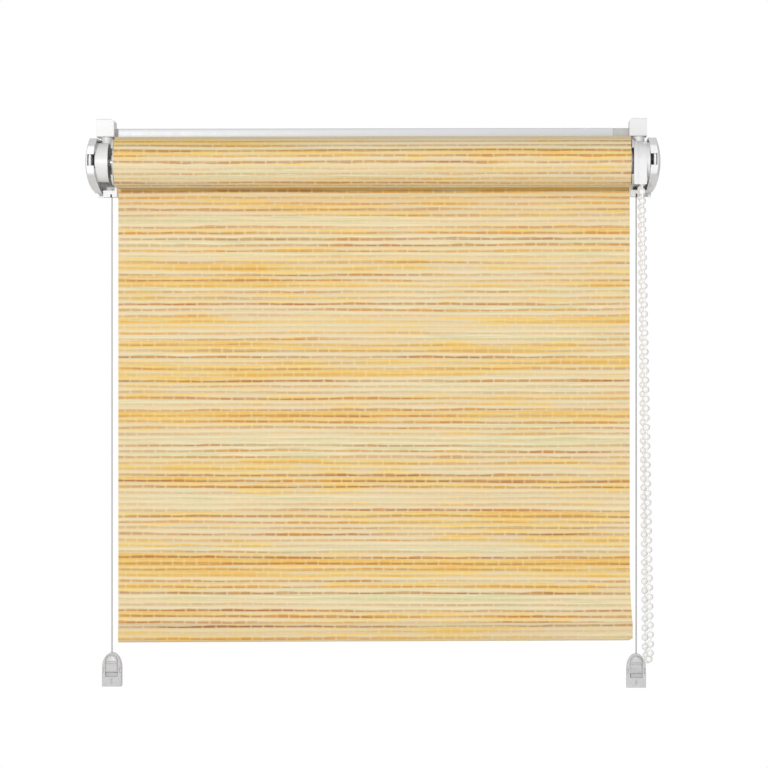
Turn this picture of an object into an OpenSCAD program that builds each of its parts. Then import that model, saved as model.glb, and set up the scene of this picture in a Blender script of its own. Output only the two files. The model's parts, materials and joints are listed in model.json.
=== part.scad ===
// Clamp roller blind with a bead chain drive, guided by two taut wires.
// X runs along the roller, Y runs back towards the window and Z is up.
// The plane y = 0 is the front of the sash, and z = 0 is the top edge of the sash.

/* [Fabric] */
// Width of the cloth
fabric_w = 330; // [240:1:480]
// Height from the roller axis down to the foot of the hem
drop = 308; // [220:1:460]
// Diameter of the wound cloth
roll_d = 33.8; // [30:0.2:34.4]
// Thickness of the cloth between its ribs
cloth_t = 0.4; // [0.3:0.05:0.5]
// Height of a weft rib above the cloth
rib_h = 0.35; // [0.2:0.05:0.5]
// Distance between weft ribs
rib_pitch = 3.8; // [2.6:0.1:5]
// Whole turns of cloth on the tube
roll_turns = 11; // [6:1:11]

/* [Hem and bottom bar] */
// Height of the hem
hem_h = 12; // [10:0.5:20]
// Thickness of the hem
hem_t = 4.6; // [4:0.1:6]
// Thickness of the bottom bar
bar_t = 2.6; // [1.5:0.1:3]
// Height of the bottom bar
bar_h = 7.6; // [5:0.1:8]
// Length of the bar's end plugs
cap_len = 8; // [5:1:12]
// Length of the hem beyond the right edge of the cloth
hem_over = 1.9; // [0:0.1:3]
// Slope of the hem, which hangs lower at the left
hem_tilt = 0.35; // [0:0.05:0.5]

/* [Roller] */
// Outer diameter of the roller tube
tube_d = 19; // [17:0.5:20]
// Wall of the roller tube
tube_wall = 0.9; // [0.6:0.1:1.2]
// Length of the plugs inside the tube
plug_len = 20; // [14:1:30]
// Diameter of the idle pin
pin_d = 5; // [4:0.5:6]
// Length of the idle pin outside the tube
pin_reach = 8; // [5:0.5:9]

/* [Chain drive] */
// Diameter of a bead
bead_d = 4.5; // [4:0.1:4.6]
// Distance between beads along the chain
bead_pitch = 6; // [5.6:0.1:6.1]
// Diameter of the chain's cord
chain_cord_d = 1.2; // [0.8:0.1:1.6]
// Beads in the whole loop
bead_count = 113; // [91:2:151]
// Pockets round the sprocket
pockets = 10; // [8:2:10]
// Sideways lean of the hanging loop from top to bottom
chain_lean = 4.3; // [0:0.1:5]
// Sideways distance between the two strands at the foot of the loop
chain_twist = 2.7; // [0:0.1:4]
// Width of the sprocket
sprocket_w = 6.4; // [6:0.1:6.6]
// Wall of the chain guard
guard_wall = 1; // [0.8:0.1:1.2]
// Height of the guard's legs below the axis
guard_leg = 15; // [8:0.1:16]

/* [Brackets] */
// Distance of the roller axis in front of the sash
axis_out = 24; // [22:0.5:28]
// Distance of the roller axis below the top of the sash
axis_drop = 20; // [19:0.5:22]
// Diameter of the hub drum at the idle end
hub_d = 25; // [22:0.5:26]
// Space between the left inner wall and the hub drum
hub_gap = 2.2; // [0.3:0.1:2.6]
// Space between the cloth and a bracket's inner wall
wall_gap = 0.5; // [0.4:0.1:1.5]
// Thickness of a bracket's inner wall
wall_t = 1.3; // [1:0.1:1.6]
// Space between a bracket's inner wall and its side plate
bay_w = 10.4; // [9.8:0.1:12]
// Thickness of a bracket's side plate
plate_t = 1.6; // [1.2:0.1:1.8]
// Thickness of a bracket's spine against the sash
spine_t = 2.4; // [1.6:0.1:3]
// Depth of the bottom tray in front of the sash
tray_d = 11.4; // [9:0.1:11.5]
// Height of the tray's lip
lip_h = 2.8; // [2:0.1:3.4]
// Thickness of the tray's floor and lip
tray_t = 1.4; // [1:0.1:1.8]

/* [End covers] */
// Wall of an end cover
cover_wall = 1.3; // [1:0.1:1.5]
// Bend radius of the domed outer face from top to bottom
dome_r = 42; // [38:1:60]
// Bend radius of the domed outer face from front to back
bow_r = 76; // [70:1:140]
// Bend radius of the rim's inner edge
rim_r = 76; // [60:1:120]
// Depth of the rim in the middle
rim_depth = 6.6; // [6:0.1:8]
// Height of the window in the rim
window_h = 7.3; // [4:0.1:9]

/* [Clamps] */
// Width of a clamp block
block_w = 11.2; // [10.5:0.1:12]
// Distance that both clamp blocks stand to the left of their brackets
block_shift = 1.1; // [0:0.1:1.2]
// Depth of a clamp block in front of the sash
block_d = 19.5; // [19:0.5:24]
// Height of a clamp block above the top of the sash
block_top = 8.4; // [6:0.1:12]
// Depth of a clamp block below the top of the sash
block_foot = 3.2; // [3:0.1:3.9]
// Width of a clamp hook
hook_w = 8; // [6:0.5:8.5]
// Thickness of a clamp hook
hook_t = 1.5; // [1:0.1:2]
// Height of a hook's leg behind the sash
hook_leg = 16; // [10:1:24]
// Thickness of the sash that the clamps are set to
sash_t = 18; // [14:1:24]
// Travel of a hook to either side of that
hook_travel = 4; // [2:0.5:4]
// Diameter of the neck under a block
neck_d = 7.4; // [6:0.1:8]
// Height of the neck inside a block
neck_in = 2.4; // [1.5:0.1:2.4]
// Diameter of the set screw in a block
screw_d = 4; // [3:0.5:5]

/* [Top rail] */
// Depth of the rail
rail_d = 6; // [5:0.5:6]
// Height of the rail
rail_h = 7; // [6:0.5:8]
// Wall of the rail
rail_wall = 0.9; // [0.7:0.1:1.2]
// Length of the grey end piece that shows at the right
rail_end = 10; // [4:0.5:14]
// Length of an end piece inside the rail
spigot_len = 14; // [8:1:20]

/* [Guide wires] */
// Diameter of a guide wire
wire_d = 0.9; // [0.6:0.1:1.2]
// Distance of a wire outside the edge of the cloth
wire_out = 4.2; // [3.4:0.1:5]
// Distance of a wire in front of the sash
wire_y = 5.4; // [5:0.1:5.4]
// Distance from the foot of the hem down to a wire clamp
foot_gap = 7.6; // [4:0.1:20]
// Width of a wire clamp
foot_w = 12.5; // [12:0.1:16]
// Height of a wire clamp
foot_h = 21.8; // [20:0.1:26]
// Depth of a wire clamp in front of the sash
foot_d = 8.5; // [8.5:0.1:11]
// Thickness of a wire clamp's hook round the sash
foot_hook_t = 1.8; // [1.2:0.1:2.4]
// Height of a wire clamp's hook behind the sash
foot_lip = 9; // [5:0.5:14]
// Travel of the lock panel
lock_travel = 2.8; // [1:0.1:3]

/* [Hidden] */
$fn = 64;

// Clearances
running = 0.05;
sliding = 0.2;
seat = 0.1;
free = 0.3;

// Places along the roller
half = fabric_w / 2;
wall_x = half + wall_gap;
bay_x = wall_x + wall_t;
plate_x = bay_x + bay_w;
tube_half = half + free;
block_x = wall_x;
block_mid = block_x + block_w / 2;
neck_shift = 0.6;
neck_x = block_mid - neck_shift;
wire_x = half + wire_out;

// Roller and chain radii
roll_r = roll_d / 2;
tube_r = tube_d / 2;
plug_r = tube_r - tube_wall - seat;
key_w = 2;
key_h = 1.2;
pitch_r = bead_pitch * pockets / 360 * 180 / PI;
sprocket_r = pitch_r + bead_d * 0.08;
chain_phase = 0.25;
core_d = 0.42 * tube_d;
sprocket_gap = 1.7;
link_trim = bead_d * 0.3;
chain_x = bay_x + sprocket_gap + sprocket_w / 2;
guard_in = pitch_r + bead_d / 2 + free;
guard_out = guard_in + guard_wall;
strand = (bead_count * bead_pitch - 2 * PI * pitch_r) / 2;
bearing_r = core_d / 2 + running;
collar_r = core_d / 2 + 2;
spring_r = 0.7 * plug_r;
flange_t = 1.3;
wall_bore = tube_r + 2;

// Cloth
sheet_y = roll_r + free + cloth_t / 2 + rib_h;
hem_top = -drop + hem_h;
sheet_top = 0;
sheet_rows = round((sheet_top - hem_top) / rib_pitch);
wind_pitch = (roll_r - rib_h - cloth_t - tube_r - seat) / roll_turns;
roll_ribs = round(2 * PI * roll_r / rib_pitch);
bar_z = -hem_h + (hem_t - bar_t) / 2 + bar_h / 2;

// Cover outline round the axis
cover_front = 17;
cover_top = 15.1;
cover_foot = 19.2;
cover_back = axis_out - spine_t - free;
facet_top = 9.8;
facet_foot = 8.4;
foot_flat = 13.4;
cover_r = 1.6;
window_z = 0.8;
cover_x = plate_x + 0.2;
cover_end = cover_x + rim_depth;
drum_end = cover_x - cover_sag(guard_leg + 3, rim_r) - free;

// Tray and clamps, round the axis
tray_top = -cover_foot - 0.8;
tray_end = cover_x - cover_sag(cover_foot, rim_r) - 2 * free;
neck_out = 14.6;
neck_y = axis_out - neck_out;
neck_top = axis_drop - block_foot + neck_in;
block_z = axis_drop - block_foot;
bridge_step = 0.3;
bridge_y = hook_travel + 2 * free;
block_r = 1.2;
block_round = 2.2;
slot_front = block_d - 2.4;
screw_y = 6;
rail_z = -0.5;
rail_left = -block_x - block_shift;
rail_right = block_x - block_shift;
ferrule_d = 2.8;
ferrule_h = 3;

// Wire clamp
foot_top = -axis_drop - drop - foot_gap;
foot_foot = foot_top - foot_h;
arch_h = 9.6;
panel_w = 7.8;
panel_h = 11;
panel_rise = 4;
panel_t = 2.4;
panel_top = 1.4;
recess_h = panel_h + lock_travel + seat + sliding;

// Shared shapes

function unit(v) = v / norm(v);
function left_normal(p, q) = let (e = q - p) [-e.y, e.x] / norm(e);

// A closed outline moved inwards by a distance, its points running anticlockwise
function inset(points, by) = let (m = len(points)) [
    for (i = [0:m - 1])
        let (a = left_normal(points[(i + m - 1) % m], points[i]))
        let (b = left_normal(points[i], points[(i + 1) % m]))
        points[i] + (a + b) * by / (1 + a * b)
];

// The arc that rounds the corner b between a and c
function corner(a, b, c, r, n) =
    let (u = unit(a - b), w = unit(c - b))
    let (angle = acos(u * w), sweep = 180 - angle)
    let (centre = b + unit(u + w) * r / sin(angle / 2))
    let (from = b + u * r / tan(angle / 2) - centre)
    let (to = b + w * r / tan(angle / 2) - centre)
    [for (k = [0:n]) centre + (from * sin((1 - k / n) * sweep) + to * sin(k / n * sweep)) / sin(sweep)];

function rounded(points, r, n = 4) = let (m = len(points)) [
    for (i = [0:m - 1]) each corner(points[(i + m - 1) % m], points[i], points[(i + 1) % m], r, n)
];

function box_points(w, h) = [[-w / 2, -h / 2], [w / 2, -h / 2], [w / 2, h / 2], [-w / 2, h / 2]];

// How far a bent face falls back at a height from its middle
function cover_sag(z, r) = r - sqrt(r * r - z * z);

// A profile drawn in Y and Z, carried along X
module along_x(from, to) {
    translate([from, 0, 0]) rotate([90, 0, 90]) linear_extrude(to - from) children();
}

// A profile drawn in X and Z, carried along Y
module along_y(from, to) {
    translate([0, to, 0]) rotate([90, 0, 0]) linear_extrude(to - from) children();
}

module round_bar(from, to, d) {
    along_x(from, to) circle(d = d);
}

module on_axis() {
    translate([0, -axis_out, -axis_drop]) children();
}

module on_left() {
    mirror([1, 0, 0]) children();
}

// Cloth

function slub(row) = 0.75 + 0.25 * sin(row * 137);
function rib(row, part) = rib_h * slub(row) * sin(180 * part);
rib_parts = [0, 0.25, 0.5, 0.75];

// Radius of the wound cloth's inner face after some turns
function wound(turn) = tube_r + seat + wind_pitch * turn;
function spiral_point(r, turn) = r * [cos(360 * turn), -sin(360 * turn)];
turn_steps = 36;
rib_turn = roll_turns - 1;

module fabric_roll() {
    inner = [
        for (i = [turn_steps * roll_turns:-1:0])
            let (turn = i / turn_steps) spiral_point(wound(turn), turn)
    ];
    plain = [
        for (i = [0:turn_steps * rib_turn - 1])
            let (turn = i / turn_steps) spiral_point(wound(turn) + cloth_t, turn)
    ];
    ribbed = [
        for (row = [0:roll_ribs - 1]) for (part = rib_parts)
            let (turn = rib_turn + (row + part) / roll_ribs)
            spiral_point(wound(turn) + cloth_t + rib(row, part), turn)
    ];
    last = [spiral_point(wound(roll_turns) + cloth_t, roll_turns)];
    color("burlywood") on_axis() along_x(-half, half) polygon(concat(plain, ribbed, last, inner));
}

module fabric_sheet() {
    low = hem_top - half * tan(hem_tilt);
    pitch = (sheet_top - low) / sheet_rows;
    front = [
        for (row = [0:sheet_rows - 1]) for (part = rib_parts)
            [sheet_y - cloth_t / 2 - rib(row, part), sheet_top - (row + part) * pitch]
    ];
    back = [
        for (row = [sheet_rows - 1:-1:0]) for (part = [1, 0.75, 0.5, 0.25])
            [sheet_y + cloth_t / 2 + rib(row, part), sheet_top - (row + part) * pitch]
    ];
    foot = [[sheet_y - cloth_t / 2, low]];
    head = [[sheet_y + cloth_t / 2, sheet_top]];
    color("wheat") on_axis() difference() {
        along_x(-half, half) polygon(concat(front, foot, back, head));
        hem_slope() translate([-fabric_w, 0, seat - hem_h]) cube([2 * fabric_w, axis_out, hem_h]);
    }
}

// The hem's own frame, with its origin in the middle of its top edge
module hem_slope() {
    translate([0, 0, hem_top]) rotate([0, -hem_tilt, 0]) children();
}

// Half the hem's thickness at a depth below its top edge
function hem_half(depth) =
    let (swell = sin(90 * min(1, depth / (hem_h * 0.3))))
    let (upper = cloth_t / 2 + (hem_t - cloth_t) / 2 * swell)
    let (below = max(0, depth - hem_h + hem_t / 2))
    let (ripple = rib_h / 2 * (1 - abs(sin(180 * depth / rib_pitch))))
    min(upper, sqrt(max(0, hem_t * hem_t / 4 - below * below))) - ripple * swell * (below > 0 ? 0 : 1);

module hem_pocket() {
    steps = round(8 * hem_h / rib_pitch);
    corner_r = 3;
    side = [for (i = [0:steps]) let (depth = hem_h * i / steps) [hem_half(depth), -depth]];
    front = [for (p = side) [sheet_y - p.x, p.y]];
    back = [for (i = [steps - 1:-1:0]) [sheet_y + side[i].x, side[i].y]];
    color("tan") on_axis() hem_slope() difference() {
        along_x(-half, half + hem_over) polygon(concat(front, back));
        translate([0, sheet_y, bar_z]) along_x(-half - 1, half + hem_over + 1)
            polygon(rounded(box_points(bar_t + 2 * seat, bar_h + 2 * seat), bar_t / 3));
        along_y(0, axis_out) translate([half + hem_over - corner_r, -hem_h]) difference() {
            translate([0, -1]) square(corner_r + 1);
            translate([0, corner_r]) circle(r = corner_r);
        }
    }
}

module bar_length(from, to) {
    on_axis() hem_slope() translate([0, sheet_y, bar_z]) along_x(from, to)
        polygon(rounded(box_points(bar_t, bar_h), bar_t / 3));
}

module bottom_bar() {
    color("silver") bar_length(-half + cap_len, half + hem_over - cap_len);
}

module left_bar_cap() {
    color("white") bar_length(-half, -half + cap_len - seat);
}

module right_bar_cap() {
    color("white") bar_length(half + hem_over - cap_len + seat, half + hem_over - seat);
}

// Roller

module roller_tube() {
    color("gainsboro") on_axis() union() {
        difference() {
            round_bar(-tube_half, tube_half, tube_d);
            round_bar(-tube_half - 1, tube_half + 1, tube_d - 2 * tube_wall);
        }
        along_x(-tube_half, tube_half) difference() {
            translate([-key_w / 2, -tube_r + tube_wall / 2]) square([key_w, tube_wall / 2 + key_h]);
            translate([-key_w, -tube_r - key_h]) square([2 * key_w, key_h + tube_wall / 4]);
        }
    }
}

// The part of a plug inside the tube, with flutes and a way for the tube's key
module plug_body(inner_end, outer_end) {
    flutes = 8;
    difference() {
        round_bar(inner_end, outer_end, 2 * plug_r);
        along_x(inner_end - 1, outer_end - 2) for (i = [0:flutes - 1])
            rotate(360 / flutes * (i + 0.5)) translate([plug_r - 1, -1.2]) square([2, 2.4]);
        along_x(inner_end - 1, outer_end + 1) translate([-key_w / 2 - sliding, -plug_r - 1])
            square([key_w + 2 * sliding, key_h + 1 + 3 * sliding]);
    }
}

module idle_plug() {
    notches = 12;
    face = tube_half + running;
    color("white") on_axis() on_left() difference() {
        union() {
            plug_body(tube_half - plug_len, face);
            along_x(face, face + flange_t) difference() {
                circle(r = tube_r + 0.5);
                for (i = [0:notches - 1])
                    rotate(360 / notches * i) translate([tube_r - 1.4, -1.1]) square([4, 2.2]);
            }
        }
        round_bar(tube_half - plug_len - 1, face + flange_t + 1, pin_d + 2 * running);
    }
}

module idle_pin() {
    tip = 0.6;
    color("silver") on_axis() on_left() rotate([0, 90, 0]) union() {
        translate([0, 0, tube_half - plug_len + 2]) cylinder(h = plug_len - 2 + pin_reach - tip, d = pin_d);
        translate([0, 0, tube_half + pin_reach - tip]) cylinder(h = tip, d1 = pin_d, d2 = pin_d - 2 * tip);
    }
}

module idle_bearing() {
    dish = 1.4;
    face = bay_x + hub_gap;
    color("white") on_axis() on_left() difference() {
        union() {
            round_bar(face, plate_x, hub_d);
            translate([block_shift, 0, 0]) neck(hub_d / 2);
        }
        round_bar(bay_x - 1, tube_half + pin_reach + 1, pin_d + 2 * running);
        round_bar(bay_x - 1, face + dish, 2 * (tube_r + 1));
    }
}

// The stub that carries a clamp block
module neck(drum_r) {
    root = drum_r / 2;
    translate([neck_x, neck_y, root]) cylinder(h = neck_top - root, d = neck_d);
}

module drive_plug() {
    face = tube_half + running;
    dogs = 3;
    color("white") on_axis() difference() {
        union() {
            plug_body(tube_half - plug_len, face);
            round_bar(face, chain_x - sprocket_w / 2 - running, 2 * (spring_r + 1.2));
            along_x(face, face + flange_t / 2) circle(r = tube_r);
        }
        round_bar(tube_half - plug_len - 1, chain_x, 2 * spring_r);
        along_x(tube_half - plug_len - 1, tube_half - plug_len + 5) for (i = [0:dogs - 1])
            rotate(360 / dogs * i) translate([0, -1]) square([spring_r + 1, 2]);
    }
}

module wrap_spring() {
    wire = 0.7 * (spring_r - bearing_r);
    turns = floor((plug_len - 6) / wire);
    start = tube_half - plug_len + 5;
    color("darkgray") on_axis() translate([start, 0, 0]) rotate([0, 90, 0]) rotate_extrude() {
        translate([bearing_r, 0]) square([wire / 2, turns * wire]);
        for (i = [0:turns - 1])
            translate([bearing_r + wire / 2, (i + 0.5) * wire]) circle(d = wire, $fn = 24);
    }
}

module clutch_core() {
    head_t = 1.6;
    inner = tube_half - plug_len + 1;
    color("whitesmoke") on_axis() union() {
        round_bar(inner, plate_x, core_d);
        round_bar(inner, inner + head_t, core_d / 2 + spring_r);
        round_bar(chain_x + sprocket_w / 2 + running, plate_x, 2 * collar_r);
    }
}

module chain_sprocket() {
    color("white") on_axis() translate([chain_x, 0, 0]) difference() {
        round_bar(-sprocket_w / 2, sprocket_w / 2, 2 * sprocket_r);
        round_bar(-sprocket_w, sprocket_w, 2 * bearing_r);
        for (i = [0:pockets - 1]) rotate([360 / pockets * (i + chain_phase), 0, 0])
            translate([0, pitch_r, 0]) sphere(d = bead_d + 2 * free);
        rotate([0, 90, 0]) rotate_extrude() translate([pitch_r - chain_cord_d, -chain_cord_d])
            square([bead_d, 2 * chain_cord_d]);
    }
}

module chain_guard() {
    ring_w = 2.6;
    ring_h = 0.6;
    cuff_r = guard_in + guard_wall / 2;
    cuff_lap = 0.2;
    color("white") on_axis() union() {
        difference() {
            union() {
                along_x(bay_x, drum_end) guard_outline(guard_out);
                along_x(bay_x, bay_x + ring_w) guard_outline(guard_out + ring_h);
                neck(guard_out);
            }
            along_x(bay_x - 1, drum_end + 1) union() {
                circle(r = guard_in);
                translate([-guard_in, -2 * guard_out]) square([2 * guard_in, 2 * guard_out]);
            }
        }
        along_x(drum_end - cuff_lap, plate_x - running) difference() {
            circle(r = cuff_r);
            circle(r = cuff_r - 1.5 * guard_wall);
        }
    }
}

module guard_outline(r) {
    circle(r = r);
    translate([-r, -guard_leg]) square([2 * r, guard_leg]);
}

// Bead chain: over the sprocket, down both sides and round its foot

// A straight run of beads from p towards q, with the cord between them
module bead_strand(p, q, beads) {
    length = (beads - 1) * bead_pitch;
    aim(p, q) rotate_extrude($fn = 32) intersection() {
        union() {
            for (i = [0:beads - 1]) translate([0, i * bead_pitch]) circle(d = bead_d, $fn = 32);
            square([chain_cord_d / 2, length]);
        }
        translate([0, -bead_d]) square([bead_d, length + 2 * bead_d]);
    }
}

// The cord between two beads, which starts and ends inside them
module bead_link(p, q) {
    aim(p, q) translate([0, 0, link_trim])
        cylinder(h = norm(q - p) - 2 * link_trim, d = chain_cord_d, $fn = 24);
}

// Moves the origin to p and turns Z towards q
module aim(p, q) {
    e = q - p;
    translate(p) rotate([0, acos(e.z / norm(e)), atan2(e.y, e.x)]) children();
}

module bead_chain() {
    step = 360 / pockets;
    turn = asin(chain_twist / 2 / pitch_r);
    across = [-sin(turn), cos(turn), 0];
    top = pitch_r * [0, 1, 0];
    reach = norm(pitch_r * across - top);
    foot = [chain_lean, 0, -sqrt(strand * strand - reach * reach - chain_lean * chain_lean)];
    ways = [for (side = [-1, 1]) unit(foot + side * (pitch_r * across - top))];
    starts = bead_pitch * [chain_phase, 1 - chain_phase];
    counts = [for (s = starts) floor((strand - s) / bead_pitch) + 1];
    heads = [for (k = [0, 1]) (2 * k - 1) * top + starts[k] * ways[k]];
    tails = [for (k = [0, 1]) heads[k] + (counts[k] - 1) * bead_pitch * ways[k]];
    left = strand - starts[0] - (counts[0] - 1) * bead_pitch;
    first = step * (1 - left / bead_pitch) - 180;
    over = [for (a = [step * chain_phase:step:180]) pitch_r * [0, cos(a), sin(a)]];
    under = [for (a = [first:step:-1]) foot + pitch_r * (across * cos(a) + [0, 0, sin(a)])];
    upper = concat([heads[1]], over, [heads[0]]);
    lower = concat([tails[0]], under, [tails[1]]);
    color("ghostwhite") on_axis() translate([chain_x, 0, 0]) union() {
        for (p = concat(over, under)) translate(p) sphere(d = bead_d, $fn = 32);
        for (i = [1:len(upper) - 1]) bead_link(upper[i - 1], upper[i]);
        for (i = [1:len(lower) - 1]) bead_link(lower[i - 1], lower[i]);
        for (k = [0, 1]) bead_strand(heads[k], tails[k], counts[k]);
    }
}

// Brackets

// The end cover's outline in Y and Z round the axis, moved inwards by a wall
function cover_outline(by) = rounded(inset([
    [-cover_front, facet_top], [-cover_front, -facet_foot], [cover_back - foot_flat, -cover_foot],
    [cover_back, -cover_foot], [cover_back, cover_top], [-cover_front / 2, cover_top]
], by), max(cover_r - by, 0.4));

// Everything on the roller's side of a face that is bent round Y
module bent_block(face_x, r) {
    translate([face_x - r, axis_out + 1, 0]) rotate([90, 0, 0]) cylinder(h = 3 * axis_out, r = r, $fn = 128);
}

// Everything on the roller's side of the domed outer face, moved inwards by a wall
module dome(by) {
    r = dome_r - by;
    bow = bow_r - by;
    translate([cover_end - dome_r, 0, 0]) rotate([90, 0, 0]) rotate_extrude($fn = 128) intersection() {
        translate([r - bow, 0]) circle(r = bow, $fn = 128);
        translate([0, -2 * axis_out]) square([2 * r, 4 * axis_out]);
    }
}

module end_cover() {
    window_d = 4.2;
    rim_reach = 12;
    past = 1;
    color("white") on_axis() difference() {
        intersection() {
            along_x(cover_x - rim_reach, cover_end + past) polygon(cover_outline(0));
            dome(0);
        }
        intersection() {
            along_x(cover_x - rim_reach - past, cover_end + past) union() {
                polygon(cover_outline(cover_wall));
                translate([cover_back - 4, -cover_foot + cover_wall])
                    square([8, cover_foot + cover_top - 2 * cover_wall]);
            }
            dome(cover_wall);
        }
        bent_block(cover_x, rim_r);
        translate([cover_x - 2, -cover_front - 1, window_z - window_h / 2]) cube([window_d + 2, 4, window_h]);
    }
}

module left_end_cover() {
    on_left() end_cover();
}

module right_end_cover() {
    end_cover();
}

// The inner wall: an open ring with arms to the spine and the tray
module wall_outline() {
    ring_r = wall_bore + 3;
    difference() {
        union() {
            circle(r = ring_r);
            translate([0, -ring_r]) square([axis_out, 2 * ring_r]);
            translate([axis_out - tray_d, tray_top - tray_t]) square([tray_d, -tray_top]);
        }
        circle(r = wall_bore);
        translate([-2 * ring_r, -facet_foot]) square([2 * ring_r, 2 * facet_foot]);
        translate([wall_bore + 1, -wall_bore]) square([axis_out - spine_t - wall_bore - 4, 1.6 * wall_bore]);
    }
}

// The side plate under an end cover, with the latch that shows in the cover's window
module side_plate() {
    under_dome = cover_wall + free;
    front = under_dome - cover_front;
    root_h = 18;
    root_y = cover_back - 6;
    well_h = window_h + 3;
    well_d = 19;
    finger_x = cover_x + 2;
    finger_t = 1.4;
    base_d = 4;
    difference() {
        intersection() {
            along_x(plate_x, plate_x + plate_t) polygon(cover_outline(under_dome));
            dome(under_dome);
        }
        translate([plate_x - 1, front - 1, window_z - well_h / 2]) cube([plate_t + 2, well_d + 1, well_h]);
    }
    intersection() {
        union() {
            translate([plate_x, root_y, -root_h / 2]) cube([plate_t, axis_out - root_y, root_h]);
            translate([finger_x, front, window_z - window_h / 2]) cube([finger_t, well_d + base_d, window_h]);
            translate([plate_x, front + well_d, window_z - window_h / 2])
                cube([finger_x + finger_t - plate_x, base_d, window_h]);
        }
        dome(under_dome);
    }
}

module bracket() {
    tray_z = tray_top - tray_t;
    spine_h = block_z - 3 - tray_z;
    color("white") on_axis() difference() {
        union() {
            side_plate();
            along_x(wall_x, bay_x) wall_outline();
            translate([wall_x, axis_out - spine_t, tray_z])
                cube([plate_x + plate_t - wall_x, spine_t, spine_h]);
            translate([wall_x, axis_out - tray_d, tray_z]) cube([tray_end - wall_x, tray_d, tray_t]);
            translate([wall_x, axis_out - tray_d, tray_z]) cube([tray_end - wall_x, tray_t, lip_h + tray_t]);
        }
        translate([wire_x, axis_out - wire_y, tray_z - 1]) cylinder(h = tray_t + 2, d = wire_d + 4 * seat);
        translate([wire_x - wire_d / 2 - seat, axis_out - tray_d - 1, tray_z - 1])
            cube([wire_d + 2 * seat, tray_d - wire_y + 1, tray_t + lip_h / 2]);
    }
}

module left_bracket() {
    on_left() bracket();
}

module right_bracket() {
    bracket();
}

// Clamps on the top of the sash

module clamp_block(neck_at) {
    far = block_x + block_w;
    color("white") difference() {
        intersection() {
            along_x(block_x, far) polygon(rounded([
                [-block_d, -block_foot], [0, -block_foot], [0, block_top], [-block_d, block_top]
            ], block_r / 2));
            along_y(-block_d, 0) polygon(concat(
                [[block_x, -block_foot], [far, -block_foot], [far, block_top]],
                corner([far, block_top], [block_x, block_top], [block_x, -block_foot], block_round, 6)));
        }
        translate([block_mid - hook_w / 2 - sliding, -slot_front, bridge_step - running])
            cube([hook_w + 2 * sliding, slot_front + 1, hook_t - bridge_step + sliding]);
        translate([neck_at, neck_y - axis_out, -block_foot - 1])
            cylinder(h = neck_in + 1 + free, d = neck_d + 2 * seat);
        translate([block_mid, -screw_y, 0]) cylinder(h = block_top + 1, d = screw_d + 2 * running);
    }
}

module left_clamp_block() {
    on_left() translate([block_shift, 0, 0]) clamp_block(neck_x);
}

module right_clamp_block() {
    translate([-block_shift, 0, 0]) clamp_block(neck_x + block_shift);
}

module clamp_hook() {
    front = slot_front - hook_travel - sliding;
    back = sash_t + hook_t;
    toe = 2;
    bend_r = 0.6;
    color("whitesmoke") along_x(block_mid - hook_w / 2, block_mid + hook_w / 2) polygon(concat(
        [[-front, hook_t], [-front, bridge_step], [bridge_y, bridge_step], [bridge_y, 0]],
        corner([bridge_y, 0], [sash_t, 0], [sash_t, -hook_leg], bend_r, 4),
        [[sash_t, -hook_leg + toe], [sash_t + toe / 3, -hook_leg], [back, -hook_leg]],
        corner([back, -hook_leg], [back, hook_t], [-front, hook_t], bend_r + hook_t, 6)
    ));
}

module left_clamp_hook() {
    on_left() translate([block_shift, 0, 0]) clamp_hook();
}

module right_clamp_hook() {
    translate([-block_shift, 0, 0]) clamp_hook();
}

module clamp_screw() {
    foot = hook_t + running;
    head = block_top - 0.6;
    socket = screw_d / 2;
    color("silver") translate([block_mid, -screw_y, 0]) difference() {
        translate([0, 0, foot]) cylinder(h = head - foot, d = screw_d);
        translate([0, 0, head - socket]) cylinder(h = socket + 1, d = socket * 1.15, $fn = 6);
    }
}

module left_clamp_screw() {
    on_left() translate([block_shift, 0, 0]) clamp_screw();
}

module right_clamp_screw() {
    translate([-block_shift, 0, 0]) clamp_screw();
}

// Top rail between the clamp blocks

module rail_outline(by) {
    edge_r = 0.8;
    translate([-rail_d / 2, rail_z]) polygon(rounded(inset(box_points(rail_d, rail_h), by), edge_r - by / 2));
}

module top_rail() {
    color("white") along_x(rail_left, rail_right - rail_end) difference() {
        rail_outline(0);
        rail_outline(rail_wall);
    }
}

module left_rail_end() {
    color("lightgray") along_x(rail_left, rail_left + spigot_len) rail_outline(rail_wall + seat);
}

module right_rail_end() {
    color("lightgray") union() {
        along_x(rail_right - rail_end - spigot_len, rail_right - rail_end + 1) rail_outline(rail_wall + seat);
        along_x(rail_right - rail_end, rail_right) rail_outline(seat);
    }
}

// Guide wires and the clamps at their lower ends

module guide_wire() {
    foot = foot_top - panel_top - 4;
    head = tray_top - axis_drop + ferrule_h + 1;
    color("lightgray") translate([wire_x, -wire_y, foot]) cylinder(h = head - foot, d = wire_d);
}

module left_guide_wire() {
    on_left() guide_wire();
}

module right_guide_wire() {
    guide_wire();
}

module wire_ferrule() {
    color("silver") translate([wire_x, -wire_y, tray_top - axis_drop + running]) difference() {
        cylinder(h = ferrule_h, d = ferrule_d);
        translate([0, 0, -1]) cylinder(h = ferrule_h + 2, d = wire_d + 2 * running);
    }
}

module left_wire_ferrule() {
    on_left() wire_ferrule();
}

module right_wire_ferrule() {
    wire_ferrule();
}

// The wire clamp's front: straight sides under an elliptical arch
function arch_points(w, h, rise, n = 12) = concat(
    [[-w / 2, 0], [w / 2, 0]],
    [for (i = [0:n]) [w / 2 * cos(180 * i / n), h - rise + rise * sin(180 * i / n)]]
);

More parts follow.
